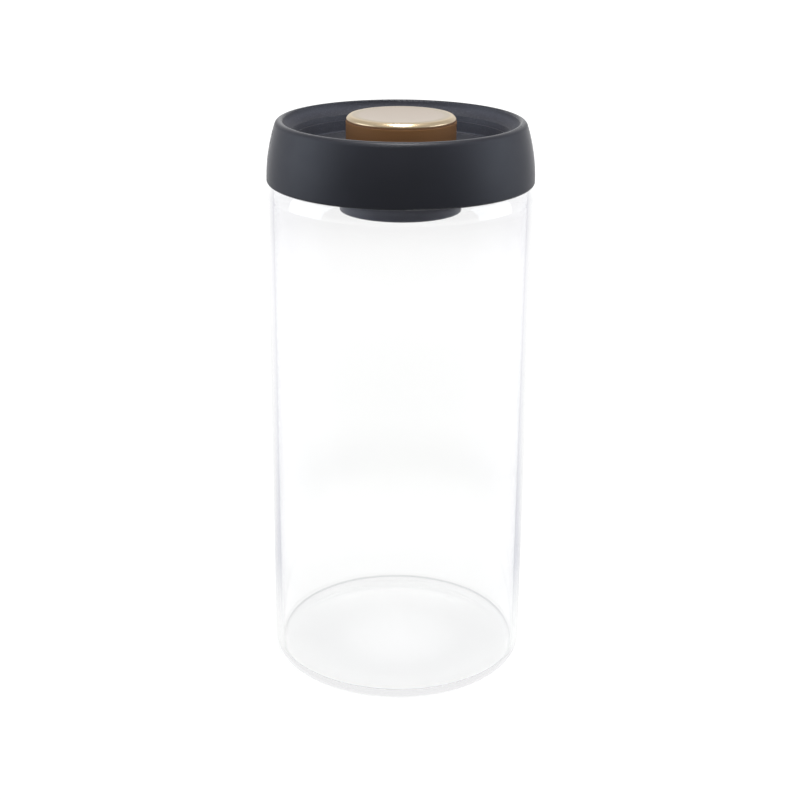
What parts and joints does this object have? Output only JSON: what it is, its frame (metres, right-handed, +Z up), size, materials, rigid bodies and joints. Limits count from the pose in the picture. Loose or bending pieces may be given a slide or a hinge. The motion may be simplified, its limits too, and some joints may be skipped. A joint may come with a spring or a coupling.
{
  "type": "vacuum seal canister",
  "caption": "Tall straight glass food canister with a matte dark press-pump lid, a dished rim and a gold-capped brown knob that pumps the air out.",
  "frame": {"origin": "centre of the jar's foot, on the surface it stands on", "axes": "+Z up the jar's axis through the knob; the part is round about it, so +X is the direction of the stem's side port at rest and -Y is towards the viewer of the picture"},
  "size_m": [0.11, 0.11, 0.24],
  "materials": {
    "glass": "clear polished borosilicate glass",
    "lid_plastic": "matte moulded, fine spark-eroded grain on the dish floor",
    "inner_plastic": "satin moulded",
    "core_plastic": "moulded",
    "bush_plastic": "smooth acetal",
    "silicone": "soft translucent silicone",
    "seal_rubber": "black rubber O-ring",
    "pad_foam": "adhesive foam",
    "steel": "stainless steel",
    "knob_bronze": "brown anodised, satin",
    "knob_gold": "champagne anodised, satin dish with a polished rim"
  },
  "bodies": {
    "jar": {"glass_jar": "glass"},
    "lid": {"lid_shell": "lid_plastic", "lid_inner": "inner_plastic", "lid_gasket": "silicone", "pump_barrel": "inner_plastic", "barrel_seal": "silicone", "barrel_screws": "steel", "guide_bush": "bush_plastic", "filter_cover": "inner_plastic", "dust_filter": "steel", "stem_ring": "seal_rubber", "return_spring": "steel"},
    "stem": {"release_stem": "bush_plastic", "stem_clip": "steel"},
    "plunger": {"plunger_core": "core_plastic", "hub_ring": "seal_rubber", "piston_seal": "silicone", "spring_washer": "steel", "cap_carrier": "core_plastic", "cap_pad": "pad_foam", "knob_sleeve": "knob_bronze", "knob_cap": "knob_gold"},
    "valve": {"inlet_valve": "silicone"}
  },
  "joints": [
    {"name": "lid_lift", "type": "slide", "parent": "jar", "child": "lid", "axis": [0, 0, 1], "range_m": [0, 0.12]},
    {"name": "knob_turn", "type": "hinge", "parent": "lid", "child": "stem", "pos_m": [0, 0, 0.2064], "axis": [0, 0, 1], "range_deg": [0, 40]},
    {"name": "knob_press", "type": "slide", "parent": "stem", "child": "plunger", "axis": [0, 0, -1], "range_m": [0, 0.009], "stiffness_N_per_m": 660, "springref_m": -0.0124, "deforming": ["return_spring"]},
    {"name": "inlet_lift", "type": "slide", "parent": "lid", "child": "valve", "axis": [0, 0, 1], "range_m": [0, 0.0008]}
  ]
}
